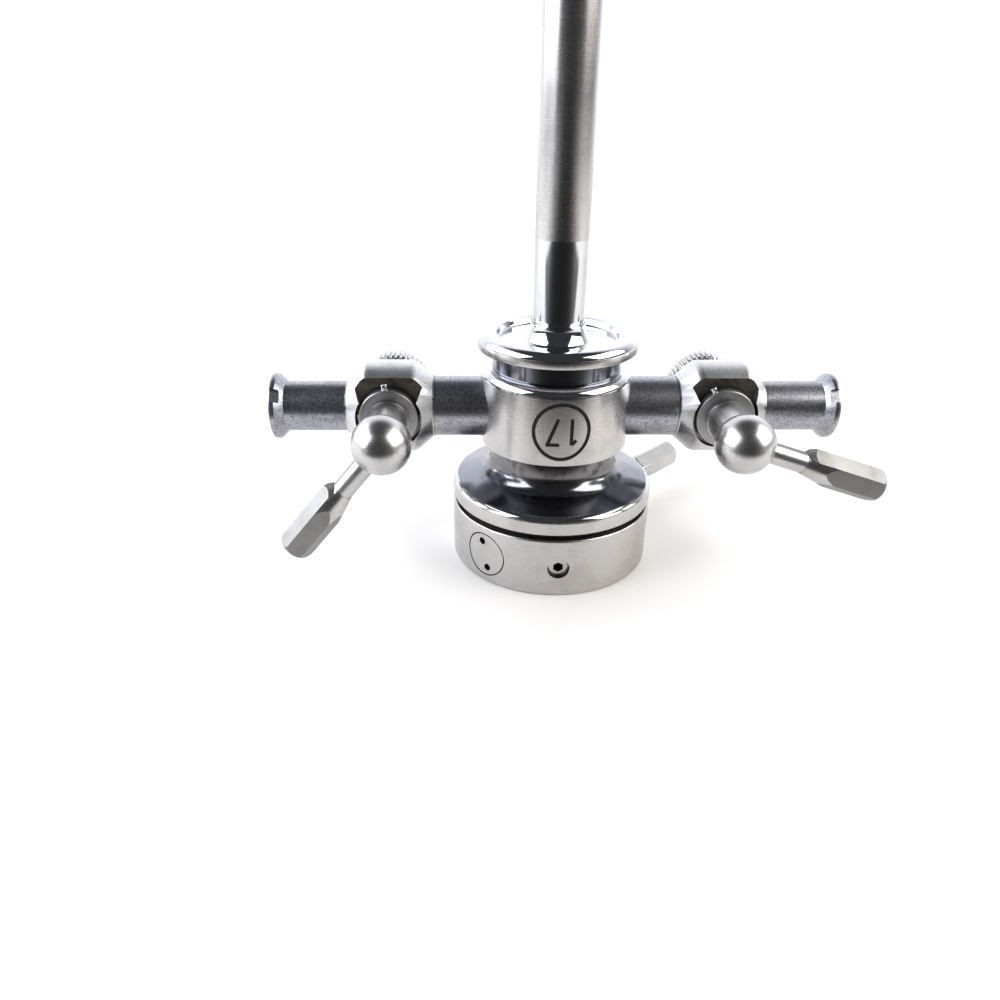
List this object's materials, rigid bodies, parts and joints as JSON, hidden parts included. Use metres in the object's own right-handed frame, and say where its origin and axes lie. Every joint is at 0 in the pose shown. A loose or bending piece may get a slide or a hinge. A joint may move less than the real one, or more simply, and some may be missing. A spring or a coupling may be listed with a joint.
{
  "type": "endoscope sheath",
  "caption": "Rigid endoscope sheath: steel tube in a turned head with lever stopcocks, Luer-lock ends and a rotating lock ring with its own lever.",
  "frame": {"origin": "centre of the lock ring's bottom face, where the telescope is pushed in", "axes": "+Z along the sheath tube towards its distal tip; X along the stopcock arms, +X to the right when the lever handles face the viewer; -Y towards the stopcocks' ball handles"},
  "size_m": [0.0699, 0.0367, 0.24],
  "materials": {
    "satin_steel": "satin",
    "polished_steel": "mirror polished",
    "blasted_steel": "glass bead blasted",
    "spring_steel": "drawn"
  },
  "bodies": {
    "sheath": {"hub_body": "polished_steel", "stopcock_collar": "satin_steel", "front_disc": "polished_steel", "sheath_tube": "satin_steel", "distal_tip": "polished_steel", "left_inner_arm": "blasted_steel", "right_inner_arm": "blasted_steel", "left_tap_housing": "satin_steel", "right_tap_housing": "satin_steel", "left_luer_tube": "blasted_steel", "right_luer_tube": "blasted_steel"},
    "left_tap": {"left_tap_plug": "satin_steel", "left_tap_lever": "satin_steel", "left_stop_pin": "polished_steel", "left_thrust_washer": "satin_steel", "left_spring_washer": "spring_steel", "left_knurled_nut": "satin_steel"},
    "right_tap": {"right_tap_plug": "satin_steel", "right_tap_lever": "satin_steel", "right_stop_pin": "polished_steel", "right_thrust_washer": "satin_steel", "right_spring_washer": "spring_steel", "right_knurled_nut": "satin_steel"},
    "lock_ring": {"lock_ring": "satin_steel", "lock_lever": "satin_steel", "detent_screw": "satin_steel", "detent_ball": "polished_steel", "detent_spring": "spring_steel", "guide_screw": "satin_steel"}
  },
  "joints": [
    {"name": "left_tap_turn", "type": "hinge", "parent": "sheath", "child": "left_tap", "pos_m": [-0.01975, 0, 0.0194], "axis": [0, -1, 0], "range_deg": [-50, 40]},
    {"name": "right_tap_turn", "type": "hinge", "parent": "sheath", "child": "right_tap", "pos_m": [0.01975, 0, 0.0194], "axis": [0, 1, 0], "range_deg": [-18, 72]},
    {"name": "lock_ring_turn", "type": "hinge", "parent": "sheath", "child": "lock_ring", "pos_m": [0, 0, 0], "axis": [0, 0, 1], "range_deg": [0, 40]}
  ]
}
